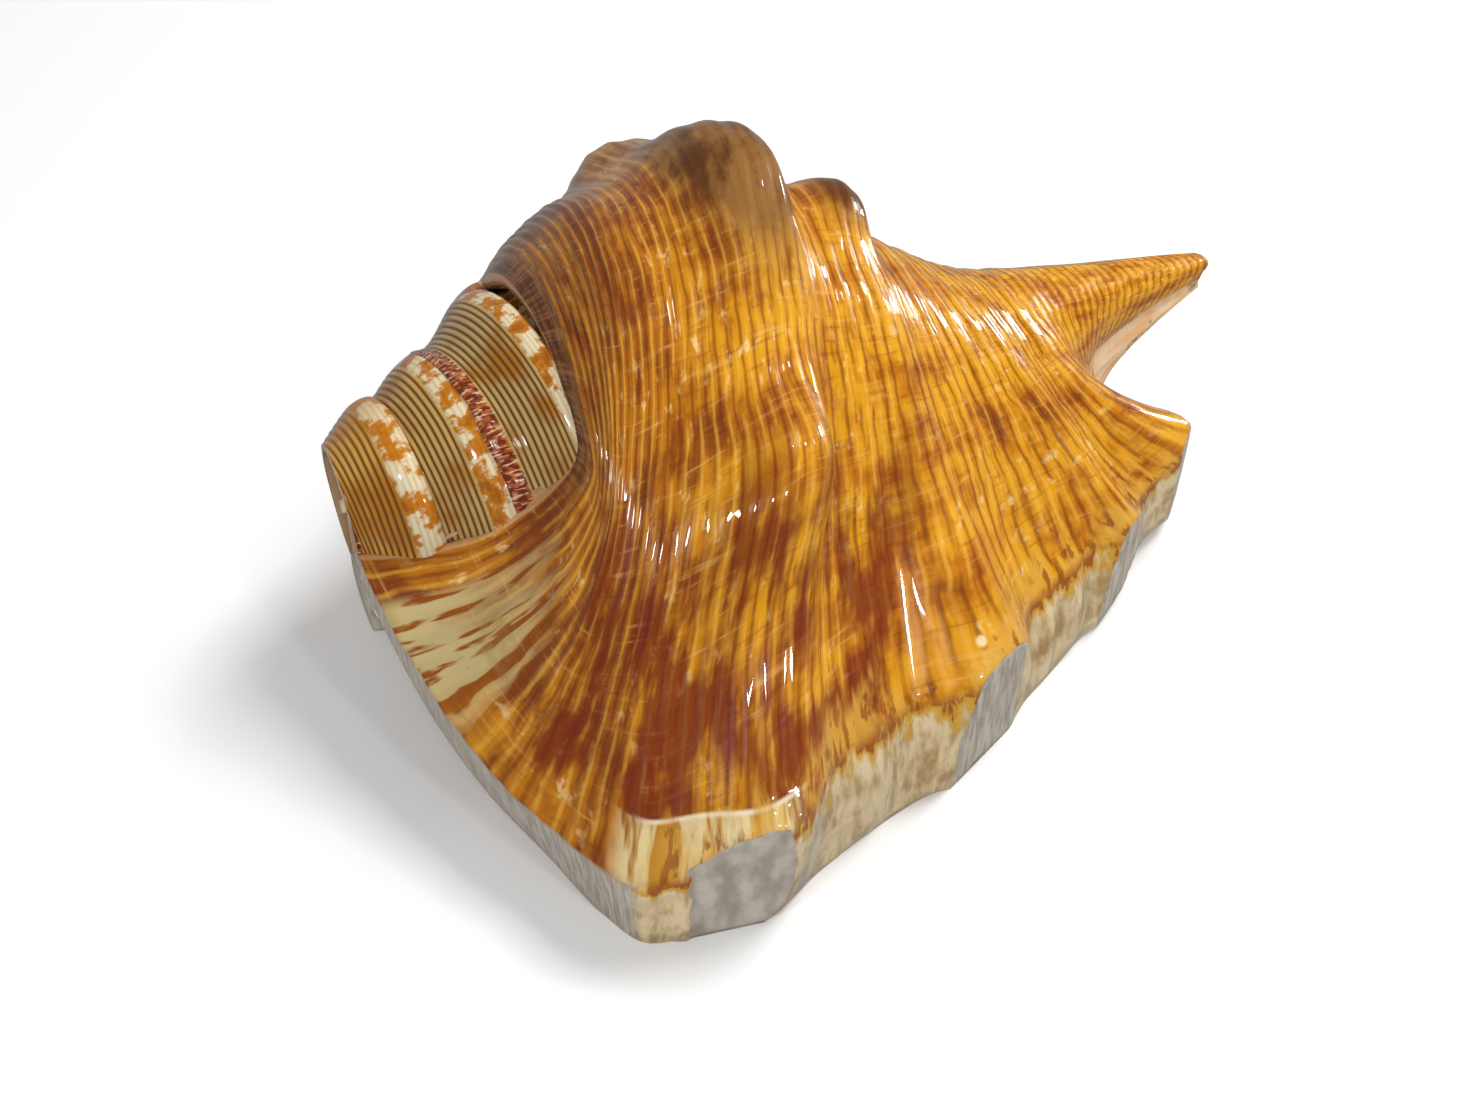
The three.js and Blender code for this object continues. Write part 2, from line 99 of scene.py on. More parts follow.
MARGIN_BOTTOM = [[-92.5, -12, -2.5], [-92, -20.0, -7.5], [-90, -30, -15], [-86.5, -41, -25],
                 [-81.5, -55, -31.5], [-74, -71, -37], [-68.5, -84, -40.5], [-63.5, -93, -42],
                 [-56, -95, -42], [-40, -95.5, -42], [-13, -86.5, -42], [2, -82, -42], [13, -77.5, -41.5],
                 [27, -70.5, -41], [42, -62.5, -40], [58, -52.5, -38], [71, -43.5, -35], [86, -31.5, -35],
                 [74.5, -19.5, -24], [77, -11.5, -17], [87, -7.5, -9.5], [104, -3, -3]]
# How hard the lip's cubics pull towards the margin, along the axis and outwards.
REACH_X_U = [0, 0.2, 0.4, 0.7, 0.84, 0.92, 0.97, 1]
REACH_X = [2.2, 2.0, 1.8, 1.6, 2.2, 3.4, 2.0, 1.4]
REACH_R_U = [0, 0.2, 0.4, 0.7, 0.9, 1]
REACH_R = [2.0, 2.4, 3.6, 3.6, 2.4, 1.5]
TURN_IN, TURN_OUT = 1.25, 0.45            # the turn's own slope at the lip's start and margin
# The brink between the aperture and the lip's underside.
BRINK_U = [0.0, 0.20, 0.40, 0.60, 0.75, 0.88, 0.95, 1.0]
BRINK = [[-92.3, -15.5, -5], [-76, -40, -15], [-42, -54, -19], [-5, -51, -20],
         [24, -39, -20], [50, -26, -18], [67, -14, -12], [103.5, -2.6, -2.6]]
# The lip's roof thickens towards the margin; the inner face has these stops.
ROOF_T = [0.0, 0.2, 0.4, 0.65]
ROOF = [1.0, 1.2, 1.6, 2.6]
ROOF_STOPS = (0, 0.20, 0.42, 0.62)
FACE_T = [0, 0.20, 0.40, 0.58, 0.72, 0.86, 1]
# The shoulder's ridge and the second one: their u by growth angle.
SHOULDER_PHI = [-255, -120, -58, -16, 60, 90, 110]
SHOULDER_U = [0.36, 0.38, 0.405, 0.470, 0.462, 0.45, 0.44]
SECOND_PHI = [-100, -12, 40, 78, 100]
SECOND_U = [0.59, 0.636, 0.625, 0.622, 0.655]
# Knobs: growth angle, half-width in degrees, height.
SHOULDER_KNOBS = [[-165, 20, 3], [-106, 15, 9], [-61, 17, 13], [-16, 24, 12.5], [62, 14, 10]]
SECOND_KNOBS = [[-60, 16, 2.5], [-13, 18, 7.5]]
# Finger stumps: u, reach, half-width in u; and the faces ground on them: centre,
# heading in degrees, width, height.
FINGERS = [[0.455, 3.5, 0.035], [0.66, 6.5, 0.028], [0.82, 4.5, 0.020], [0.912, 3.0, 0.016]]
GROUND_FACES = [[(-42, -97.5, -26), 262, 26, 44], [(-20, -91.0, -26), 292, 20, 44],
                [(17.5, -77.5, -28), 297, 24, 36], [(60.5, -53.0, -26), 304, 18, 36],
                [(86.5, -33.0, -24), 318, 15, 40]]
CORDS_ON_BACK = 38
FOLDS_ON_LIP = 13
# The last growth step by the rear corner leans this much, from this u.
STEP_LEAN, STEP_FROM_U = 0.32, 0.36
# The pillar: way along the axis and radius.
CORE_X = [-97, -80, -60, -30, 0, 30, 55, 76, 88]
CORE_R = [1.2, 1.8, 2.8, 4.4, 6.2, 7.0, 5.2, 3.2, 2.0]
# Callus pad by the aperture's rear end: x, radius, growth angle, thickness.
CALLUS = [[-54, 30.5, 172, 4.5], [-60, 29, 169, 6.5], [-68, 25.5, 165, 8.0],
          [-80, 22, 160, 8.6], [-92, 19.3, 156, 8.2]]


def smooth(a, b, value):
    """0 below a and 1 above b, with the cubic 3w^2 - 2w^3 between."""
    w = np.clip((np.asarray(value, float) - a) / (b - a), 0.0, 1.0)
    return w * w * (3 - 2 * w)


def mix(a, b, w):
    """a where w is 0, b where w is 1."""
    return a + (b - a) * w


def hermite(t, a, b, slope_a, slope_b):
    """The cubic from a to b with the given slopes at its two ends."""
    return ((2 * t**3 - 3 * t * t + 1) * a + (t**3 - 2 * t * t + t) * slope_a
            + (3 * t * t - 2 * t**3) * b + (t**3 - t * t) * slope_b)


def keyed(keys, values, at):
    """A cubic through keys; at each key its slope is the mean of the slopes either
    side, the nearer key weighing more. values may have columns."""
    keys = np.asarray(keys, float)
    values = np.asarray(values, float)
    shape = (-1,) + (1,) * (values.ndim - 1)
    step = np.diff(keys).reshape(shape)
    secant = np.diff(values, axis=0) / step
    inner = (secant[:-1] * step[1:] + secant[1:] * step[:-1]) / (step[:-1] + step[1:])
    slope = np.concatenate([secant[:1], inner, secant[-1:]])
    x = np.clip(np.asarray(at, float), keys[0], keys[-1])
    i = np.clip(np.searchsorted(keys, x, side="left") - 1, 0, len(keys) - 2)
    wide = np.diff(keys)[i]
    t = (x - keys[i]) / wide
    if values.ndim > 1:
        t, wide = t[..., None], wide[..., None]
    return hermite(t, values[i], values[i + 1], slope[i] * wide, slope[i + 1] * wide)


def turned(x, r, phi):
    """The point at x along the coil axis, r from it and phi round it."""
    return np.stack([x, -r * np.sin(np.radians(phi)), r * np.cos(np.radians(phi))], -1)


def suture_growth(phi):
    """The next turn's suture over this one, as ways from the cone's point."""
    later = keyed(SUTURE_PHI, SUTURE_D, phi + 360) / keyed(SUTURE_PHI, SUTURE_D, phi)
    return np.where(phi > LAST_SUTURE, OPEN_GROWTH, later)


def whorl(u, phi, on_last=True):
    """x, radius and way across the band on a whorl: the profile scaled about the
    cone's point by the growth per turn. Young whorls keep to the cone between their
    sutures, with a beaded shoulder and a dip, and turn in under the next one."""
    x0 = keyed(PROFILE_U, PROFILE_X, u)
    own = keyed(SUTURE_PHI, SUTURE_D, phi)
    band = (x0 - PROFILE_X[0]) / ((suture_growth(phi) - 1) * (PROFILE_X[0] - APEX_X))
    dip = 0.045 * np.sin(2 * np.pi * np.clip(band, 0, 1))
    beaded = 0.045 * np.exp(-(((band - 0.10) / 0.10) ** 2))
    is_young = smooth(-1150, -1000, phi) * (1 - smooth(-330, -250, phi))
    swell = 1 - dip + beaded * is_young - 0.16 * smooth(1, 1.12, band)
    profile_r = keyed(PROFILE_U, PROFILE_R, u)
    spire = mix(CONE_SLOPE * (x0 - APEX_X) * swell, profile_r, smooth(0.38, 0.60, u))
    r0 = mix(spire, profile_r, smooth(-330, -120, phi))
    grown = GROWTH ** ((phi - LIP_START) / 360)
    scale = mix(own / SUTURE_D[-1], grown, smooth(0.2, 0.5, u))
    if on_last:
        scale = mix(scale, 1, smooth(0.70, 0.95, u))
    blunt = 1 + 0.12 * (1 - smooth(-1080, -820, phi))
    return APEX_X + (x0 - APEX_X) * scale, r0 * scale * blunt, band


def lip_part(v):
    """0 up to where the lip begins, 1 at the margin."""
    return np.clip((v - LIP_V) / (1 - LIP_V), 0, 1)


def lip(u, t):
    """x, radius and angle on the lip's back: cubics from the whorl's end to the
    margin; near u = 0 they are drawn on to the spire's cone."""
    k = math.log(GROWTH) / 360
    x0, r0, _ = whorl(u, np.full_like(u, LIP_START))
    end = keyed(MARGIN_U, MARGIN_TOP, u)
    end_r = np.hypot(end[..., 1], end[..., 2])
    end_phi = np.degrees(np.arctan2(-end[..., 1], end[..., 2]))
    turn = end_phi - LIP_START
    reach_x = keyed(REACH_X_U, REACH_X, u)
    reach_r = keyed(REACH_R_U, REACH_R, u)
    x = hermite(t, x0, end[..., 0], (x0 - APEX_X) * k * turn, (end[..., 0] - x0) * reach_x)
    r = hermite(t, r0, end_r, r0 * k * turn, (end_r - r0) * reach_r)
    phi = hermite(t, LIP_START, end_phi, turn * TURN_IN, turn * TURN_OUT)
    first = np.array(MARGIN_TOP[0], float)
    base_r = np.hypot(first[1], first[2])
    base_phi = np.degrees(np.arctan2(-first[1], first[2]))
    base_turn = base_phi - LIP_START
    sx, sr = PROFILE_X[0], PROFILE_R[0]
    bx = hermite(t, sx, first[0], (sx - APEX_X) * k * base_turn, (first[0] - sx) * REACH_X[0])
    br = hermite(t, sr, base_r, sr * k * base_turn, (base_r - sr) * REACH_R[0])
    bphi = hermite(t, LIP_START, base_phi, base_turn * TURN_IN, base_turn * TURN_OUT)
    near = 1 - smooth(0, 0.30, u)
    cx, cphi = keyed(CLIMB_T, CLIMB_X, t), keyed(CLIMB_T, CLIMB_PHI, t)
    return (x + near * (cx - bx), r + near * (CONE_SLOPE * (cx - APEX_X) - br), phi + near * (cphi - bphi))


def place(u, v):
    """x, radius and angle on the last whorl's back, v from its first edge over
    LIP_V, where the lip begins, to 1 at the margin."""
    rolled = smooth(0.50, 0.68, u)
    phi = mix(mix(SHEET_START, CANAL_START, rolled), LIP_START, np.clip(v / LIP_V, 0, 1))
    x, r, _ = whorl(u, phi)
    hub = np.minimum(0.85 * keyed(CORE_X, CORE_R, x), 0.75 * r)
    r = mix(r, mix(hub, r, smooth(-322, -225, phi)), rolled)
    lx, lr, lphi = lip(u, lip_part(v))
    on_lip = v > LIP_V
    return np.where(on_lip, lx, x), np.where(on_lip, lr, r), np.where(on_lip, lphi, phi)


def normal_of(at, u, v, e=0.004):
    """The outward unit normal, from differences of at along u and v."""
    along = at(np.minimum(u + e, 1), v) - at(np.maximum(u - e, 0), v)
    round_ = at(u, np.minimum(v + e, 1)) - at(u, np.maximum(v - e, 0))
    n = np.cross(round_, along)
    return n / np.maximum(np.linalg.norm(n, axis=-1, keepdims=True), 1e-9)


def bumps(rows, phi):
    """Sum of bell curves: place, half-width, height."""
    return sum(height * np.exp(-(((phi - at) / half) ** 2)) for at, half, height in rows)


def ridge(d, behind, ahead):
    """A ridge round d = 0 that falls off gently behind and steeply ahead."""
    return np.exp(-np.where(d < 0, (d / behind) ** 2, (d / ahead) ** 4))


def ripples(a, b, seed):
    """Six crossed sine waves of falling height: an even, gentle unrest of about 1."""
    total = 0
    for k in range(6):
        turn = seed + 2.399 * k
        wave = np.sin((1 + 0.7 * k) * (a * math.cos(turn) + b * math.sin(turn)) + 3.1 * turn)
        total = total + wave / (1 + 0.6 * k)
    return total / 2.2


def relief(u, phi, t):
    """Height of the knobs, the two spiral ridges, the rays to the fingers, the low
    spiral cords, the lip's folds, the growth step by the rear corner and the
    hammered unrest of the back; and the height of the knobs and ridges alone."""
    shoulder_at = keyed(SHOULDER_PHI, SHOULDER_U, phi)
    second_at = keyed(SECOND_PHI, SECOND_U, phi)
    shoulder = bumps(SHOULDER_KNOBS, phi) + 2.4 * smooth(-30, 30, phi) * (1 - 0.5 * smooth(0.75, 1, t))
    second = bumps(SECOND_KNOBS, phi) + 1.6 * smooth(0, 40, phi) + 1.8 * smooth(0.7, 1, t)
    knobs = shoulder * ridge(u - shoulder_at, 0.075, 0.062) + second * ridge(u - second_at, 0.04, 0.046)
    hollow = -1.4 * smooth(-25, 25, phi) * np.exp(-(((u - 0.21) / 0.11) ** 2)) * (1 - smooth(0.5, 0.8, t))
    outward = smooth(0.45, 0.95, t)
    third, fourth = FINGERS[2][0], FINGERS[3][0]
    rays = 2.2 * outward * ridge(u - third, 0.03, 0.025) + 2.0 * outward * ridge(u - fourth, 0.022, 0.018)
    cords = 0.16 * np.sin(2 * np.pi * CORDS_ON_BACK * u + 1.5 * np.sin(9 * u))
    cords = cords * smooth(0.02, 0.1, u) * (1 - smooth(0.9, 1, u))
    folds = 0.45 * smooth(0.35, 0.9, t) * np.sin(2 * np.pi * FOLDS_ON_LIP * u + 2 * np.sin(7 * u + 2 * t))
    folds = folds * smooth(0.03, 0.15, u)
    unrest = 0.22 * ripples(60 * u, phi / 9, 1.0)
    step = -0.5 * smooth(0.936, 0.942, t - STEP_LEAN * (u - STEP_FROM_U))
    step = step * smooth(0.34, 0.36, u) * (1 - smooth(0.47, 0.50, u))
    return hollow + knobs + rays + cords + folds + unrest + step, knobs


def smooth_back(u, v):
    """The back without its relief."""
    return turned(*place(u, v))


def finger_push(u, nearness):
    """Outward, level push of the finger stumps, near the margin only."""
    reach = sum(height * np.exp(-(((u - at) / half) ** 2)) for at, height, half in FINGERS)
    a = keyed(MARGIN_U, MARGIN_BOTTOM, np.maximum(u - 0.03, 0))
    b = keyed(MARGIN_U, MARGIN_BOTTOM, np.minimum(u + 0.03, 1))
    outward = np.stack([b[..., 1] - a[..., 1], a[..., 0] - b[..., 0], np.zeros_like(u)], -1)
    outward /= np.linalg.norm(outward, axis=-1, keepdims=True)
    return outward * (reach * nearness)[..., None]


def back(u, v):
    """The outer face: the smooth back, raised by its relief along its normal. Its
    first edge is tucked in a little, so that it shuts on the whorl beside it."""
    t = lip_part(v)
    phi = place(u, v)[2]
    tuck = np.where(u < 0.015, -1.2 * (1 - u / 0.015), 0)
    height = relief(u, phi, t)[0] + tuck
    return smooth_back(u, v) + normal_of(smooth_back, u, v) * height[..., None] + finger_push(u, t**8)


def wall_at(u, v):
    """Thickness of the sheet: it grows with the coil, and stays the same on the lip."""
    grown = np.maximum(0.75, GROWTH ** ((place(u, v)[2] - LIP_START) / 360))
    return keyed(WALL_U, WALL, u) * np.where(v < LIP_V, grown, 1)


def face(u, v):
    """The inner face: one wall inside the coil; under the lip a cubic down the
    roof, round the cavity, over the brink and out to the margin's lower edge."""
    inside = smooth_back(u, v) - normal_of(smooth_back, u, v) * wall_at(u, v)[..., None]
    s = lip_part(v)
    u1 = u[:, 0]
    stops = []
    for t in ROOF_STOPS:
        at = np.full_like(u1, LIP_V + t * (1 - LIP_V))
        thick = wall_at(u1, at) * keyed(ROOF_T, ROOF, t)
        stops.append(smooth_back(u1, at) - normal_of(smooth_back, u1, at) * thick[:, None])
    brink = keyed(BRINK_U, BRINK, u1)
    bottom = keyed(MARGIN_U, MARGIN_BOTTOM, u1)
    under = (brink + bottom) / 2
    under[:, 2] += 4 * np.sin(np.pi * u1)
    stops += [brink, under, bottom]
    curve = keyed(FACE_T, np.stack(stops).reshape(len(stops), -1), s[0])
    curve = curve.reshape(s.shape[1], -1, 3).swapaxes(0, 1) + finger_push(u, s**8)
    return np.where((v <= LIP_V)[..., None], inside, curve)


class Parts:
    """Closed surfaces gathered into one mesh, with one value of each mark a point."""

    MARKS = ("cord", "grow", "across", "lipward", "knob", "inner", "wall", "spire", "band", "turn", "fresh")

    def __init__(self):
        self.points = []
        self.faces = []
        self.marks = {name: [] for name in self.MARKS}
        self.count = 0

    def add(self, points, faces, **marks):
        """One more surface. A mark that isn't given is 0 on it."""
        points = points.reshape(-1, 3)
        self.points.append(points)
        self.faces += [block + self.count for block in faces]
        for name in self.MARKS:
            value = np.broadcast_to(np.asarray(marks.get(name, 0.0), float), points.shape[:1])
            self.marks[name].append(value)
        self.count += len(points)


def loop_faces(rows, loop):
    """Quads of a grid of rows closed along its second direction."""
    i, j = np.meshgrid(np.arange(rows - 1), np.arange(loop), indexing="ij")
    k = (j + 1) % loop
    return np.stack([i * loop + j, i * loop + k, (i + 1) * loop + k, (i + 1) * loop + j], -1).reshape(-1, 4)


def end_faces(row, outer, every, loop, turned_over):
    """Faces that shut the end of a hollow sheet: under each stretch of every
    outer steps lies one inner step."""
    first = np.arange(0, outer - 1, every)
    below = loop - 1 - first // every
    corners = [first + k for k in range(every + 1)] + [below - 1, below]
    block = np.stack(corners, -1) + row * loop
    return block[:, ::-1] if turned_over else block


parts = Parts()

# The last whorl and the lip: rows of u, each a loop out over the back, down the
# margin's wall and home along the inner face.
ROWS, TURN_STEPS, LIP_STEPS, WALL_STEPS, EVERY = 250, 64, 148, 9, 4
LIP_GROWTH_MM = 130                       # way along the growth from the lip's start to the margin
WALL_FOLDS = 22
us = np.concatenate([[0, 0.006], np.linspace(0.015, 1, ROWS - 2)])
vs = np.concatenate([np.linspace(0, LIP_V, TURN_STEPS, endpoint=False), np.linspace(LIP_V, 1, LIP_STEPS + 1)])
vs_in = vs[::EVERY][::-1]
U, V = np.meshgrid(us, vs, indexing="ij")
U_in, V_in = np.meshgrid(us, vs_in, indexing="ij")
outer_face = back(U, V)
inner_face = face(U_in, V_in)

# The margin's wall bulges a little, with upright folds and gentle unrest.
down = np.linspace(0, 1, WALL_STEPS + 2)[1:-1]
belly = 4 * (down * (1 - down))
top, bottom = outer_face[:, -1:], inner_face[:, :1]
heading = finger_push(us[:, None], np.ones((1, 1)))
heading = heading / np.maximum(np.linalg.norm(heading, axis=-1, keepdims=True), 1e-9)
tall = np.linalg.norm(top - bottom, axis=-1, keepdims=True)
bulge = np.minimum(0.07 * tall, 1.4) * belly[None, :, None] * smooth(0.36, 0.44, us)[:, None, None]
upright = 0.9 * np.sin(2 * np.pi * WALL_FOLDS * us + 3 * np.sin(17 * us))[:, None] * belly[None, :]
uneven = (0.20 * ripples(70 * us[:, None], 14 * down[None, :], 0.3) + upright)[..., None]
uneven = uneven * smooth(0.36, 0.42, us)[:, None, None]
wall_face = mix(top, bottom, down[None, :, None]) + heading * (bulge + uneven)
loop = len(vs) + WALL_STEPS + len(vs_in)

T, T_in = lip_part(V), lip_part(V_in)
PHI = place(U, V)[2]
knob_height = relief(U, PHI, T)[1]
profile_mm = np.concatenate([[0], np.cumsum(np.hypot(np.diff(PROFILE_X), np.diff(PROFILE_R)))])
u_mm = keyed(PROFILE_U, profile_mm, us)
grow = np.where(V <= LIP_V, (PHI - LIP_START) * 0.8, T * LIP_GROWTH_MM)


def looped(over_back, over_wall, over_face):
    """One value a point of the loop rows, from the three stretches of a loop."""
    stretches = zip((over_back, over_wall, over_face), (len(vs), len(down), len(vs_in)))
    spread = [np.broadcast_to(value, (ROWS, count)) for value, count in stretches]
    return np.concatenate(spread, 1).reshape(-1)


parts.add(
    np.concatenate([outer_face, wall_face, inner_face], 1),
    [loop_faces(ROWS, loop), end_faces(0, len(vs), EVERY, loop, True),
     end_faces(ROWS - 1, len(vs), EVERY, loop, False)],
    cord=looped(u_mm[:, None], u_mm[:, None], u_mm[:, None]),
    grow=looped(grow, LIP_GROWTH_MM + down[None, :] * 20, LIP_GROWTH_MM + 20 + (1 - V_in) * 200),
    across=looped(U, us[:, None], U_in),
    lipward=looped(np.where(V <= LIP_V, (V - LIP_V) / LIP_V, T), 1, np.where(V_in <= LIP_V, 0, T_in)),
    knob=looped(knob_height, 0, 0),
    inner=looped(0, 0, 1),
    wall=looped(0, 1, 0),
    fresh=looped(0, down[None, :], 1),
)

# The young whorls of the spire, from the oldest: rows of u start at the sawn
# plane and are closest between the suture and the next one.
YOUNG = [(-1310, -960), (-965, -605), (-610, -250)]
YOUNG_LOOP, YOUNG_BAND, YOUNG_REST, YOUNG_EVERY = 72, 64, 12, 3
UNDER_NEXT = 1.03                         # the close rows reach this far under the next suture
SCAN = np.linspace(0, 1, 401)
RIBS = 17.5                               # ribs from one suture to the next


def rib_height(band):
    """Cosine ribs of the young whorls, from the suture to the smooth strip."""
    ribs = 0.5 + 0.5 * np.cos(2 * np.pi * (band * RIBS + 0.1))
    return 0.20 * (ribs - 0.5) * smooth(0.01, 0.05, band) * (1 - smooth(0.66, 0.74, band))


for oldest, newest in YOUNG:
    phi = np.linspace(oldest, newest, YOUNG_LOOP + 1)
    scan_x = whorl(*np.meshgrid(SCAN, phi, indexing="ij"), False)[0]
    past = np.maximum(np.argmax(scan_x >= SAWN_APEX_X, axis=0), 1)
    cols = np.arange(len(phi))
    x_before, x_past = scan_x[past - 1, cols], scan_x[past, cols]
    at_saw = SCAN[past - 1] + (SAWN_APEX_X - x_before) / (x_past - x_before) * SCAN[1]
    cut_u = np.where(scan_x[0] >= SAWN_APEX_X, 0, at_saw)
    own = keyed(SUTURE_PHI, SUTURE_D, phi)
    ahead = suture_growth(phi)
    next_x0 = PROFILE_X[0] + (ahead * UNDER_NEXT - 1) * (PROFILE_X[0] - APEX_X)
    next_u = np.maximum(np.interp(next_x0, keyed(PROFILE_U, PROFILE_X, SCAN), SCAN), cut_u + 0.02)
    near = np.linspace(0, 1, YOUNG_BAND, endpoint=False)[:, None]
    far = np.linspace(0, 1, YOUNG_REST + 1)[:, None]
    young_u = np.concatenate([mix(cut_u, next_u, near), mix(next_u, 1.0, far)])
    young_phi = np.broadcast_to(phi, young_u.shape)

    def young_back(u, v, oldest=oldest, newest=newest):
        """A young whorl's smooth back, v from its first angle to its last."""
        angle = mix(oldest, newest, v)
        x, r, _ = whorl(u, angle, False)
        return turned(x, r, angle)

    young_v = (young_phi - oldest) / (newest - oldest)
    base = young_back(young_u, young_v)
    band = whorl(young_u, young_phi, False)[2]
    # Beside the saw's cut the wall stands square to the axis.
    near_cut = (1 - smooth(0.5, 5.0, base[..., 0] - SAWN_APEX_X))[..., None]
    normal = mix(normal_of(young_back, young_u, young_v), turned(0 * young_phi, 1.0, young_phi), near_cut)
    tuck = np.where(young_u < 0.012, -0.35, 0)
    height = rib_height(band) + 0.10 * ripples(9 * band, young_phi / 6, 2.0) + tuck
    outside = base + normal * height[..., None]
    arc = np.cumsum(np.gradient(np.radians(phi)) * CONE_SLOPE * own)
    grown = GROWTH ** ((young_phi - LIP_START) / 360)
    thick = np.maximum(0.9, keyed(WALL_U, WALL, young_u) * grown)[..., None]
    inside = (base - normal * thick)[:, ::YOUNG_EVERY][:, ::-1]
    young_loop = len(phi) + inside.shape[1]

    def whole(over_outside, over_inside):
        """One value a point, from the outer and the inner stretch of each loop."""
        return np.concatenate([np.broadcast_to(over_outside, young_u.shape),
                               np.broadcast_to(over_inside, inside.shape[:2])], 1).reshape(-1)

    parts.add(
        np.concatenate([outside, inside], 1),
        [loop_faces(len(young_u), young_loop),
         end_faces(0, len(phi), YOUNG_EVERY, young_loop, True),
         end_faces(len(young_u) - 1, len(phi), YOUNG_EVERY, young_loop, False)],
        cord=whole(band * own * (ahead - 1), 0),
        grow=whole(arc[None, :], 0),
        across=whole(young_u, 0),
        lipward=-1,
        inner=whole(0, 1),
        spire=1,
        band=whole(band, 0),
        turn=whole((young_phi + 960) / 360, 0),
    )

# The pillar: a lathe shape on the coil axis, its two poles shut by caps.
PILLAR_ROUND, PILLAR_ROWS = 24, 60
pillar_x = np.linspace(-96, 88, PILLAR_ROWS)
pillar_r = keyed(CORE_X, CORE_R, pillar_x)
pillar_x = np.concatenate([pillar_x[:1], pillar_x, pillar_x[-1:]])
pillar_r = np.concatenate([[0.02], pillar_r, [0.02]])
round_it = np.linspace(0, 360, PILLAR_ROUND, endpoint=False)
along, around = np.meshgrid(pillar_x, round_it, indexing="ij")
pillar = turned(np.maximum(along, SAWN_APEX_X), pillar_r[:, None] + 0 * around, around)
pillar_cap = np.arange(PILLAR_ROUND)[None, :]
pillar_caps = [pillar_cap[:, ::-1], pillar_cap + (len(pillar_x) - 1) * PILLAR_ROUND]
parts.add(pillar, [loop_faces(len(pillar_x), PILLAR_ROUND)] + pillar_caps, inner=1, lipward=-1)

# The callus pad: a round bar along its own curve, rounded at its front end and
# sawn off flat at the apex cut.
PAD_ROUND, PAD_ROWS = 40, 44
PAD_LENGTH_MM, PAD_RADIUS_MM = 40, 8
PAD_NOSE = 0.16                           # share of the bar that its round end takes
pad_w = np.linspace(0, 1, PAD_ROWS)
pad = keyed(np.linspace(0, 1, len(CALLUS)), CALLUS, pad_w)
nose = np.sqrt(np.clip(1 - (1 - np.clip(pad_w / PAD_NOSE, 0, 1)) ** 2, 0.0004, 1))
pad_angle = np.linspace(0, 2 * np.pi, PAD_ROUND, endpoint=False)
centre = turned(pad[:, 0], pad[:, 1], pad[:, 2])[:, None, :]
lumpy = (pad[:, 3] * nose)[:, None] * (1 + 0.05 * np.sin(3 * pad_angle[None, :] + 4 * pad_w[:, None]))
ring = np.stack([0 * lumpy, lumpy * np.cos(pad_angle), lumpy * np.sin(pad_angle)], -1)
pad_cap = np.arange(PAD_ROUND)[None, :]
pad_caps = [pad_cap, pad_cap[:, ::-1] + (PAD_ROWS - 1) * PAD_ROUND]
parts.add(
    centre + ring,
    [loop_faces(PAD_ROWS, PAD_ROUND)[:, ::-1]] + pad_caps,
    lipward=-1,
    wall=1,
    fresh=0.5,
    across=0.3,
    cord=(pad_angle[None, :] * PAD_RADIUS_MM + 0 * lumpy).reshape(-1),
    grow=(pad_w[:, None] * PAD_LENGTH_MM + 0 * lumpy).reshape(-1),
)

# Saw and grinder: what stands past a plane is moved back on to it, and the depth
# taken off is kept for the finish.
UNTOUCHED = -9.0
GROUND_DEPTH = 16
APEX_KERF = 0.6                           # the young whorls' relief may stand this far past the saw
shape_mm = np.concatenate(parts.points)
sawn = np.full(len(shape_mm), UNTOUCHED)
for middle, heading_deg, width, height in GROUND_FACES:
    outward = np.array([math.cos(math.radians(heading_deg)), math.sin(math.radians(heading_deg)), 0])
    sideways = np.array([-outward[1], outward[0], 0])
    from_middle = shape_mm - np.array(middle, float)
    depth = from_middle @ outward
    within = (abs(from_middle @ sideways) < width / 2) & (abs(from_middle[:, 2]) < height / 2)
    within &= depth < GROUND_DEPTH
    sawn = np.where(within, np.maximum(sawn, depth), sawn)
    shape_mm = shape_mm - np.where(within & (depth > 0), depth, 0)[:, None] * outward
shape_mm[:, 2] = np.maximum(shape_mm[:, 2], GROUND)
shape_mm[:, 0] = np.maximum(shape_mm[:, 0], SAWN_APEX_X - APEX_KERF)

faces = [row for block in parts.faces for row in block.tolist()]
mesh = bpy.data.meshes.new("shell_body")
mesh.from_pydata(((shape_mm + AXIS) * MM).tolist(), [], faces)
mesh.polygons.foreach_set("use_smooth", np.ones(len(faces), bool))
marks = {name: np.concatenate(parts.marks[name]) for name in Parts.MARKS}
marks["sawn"] = sawn
for name, values in marks.items():
    mesh.attributes.new(name, "FLOAT", "POINT").data.foreach_set("value", values.astype(np.float32))
mesh.update()
shell = bpy.data.objects.new("shell_body", mesh)
bpy.context.scene.collection.objects.link(shell)


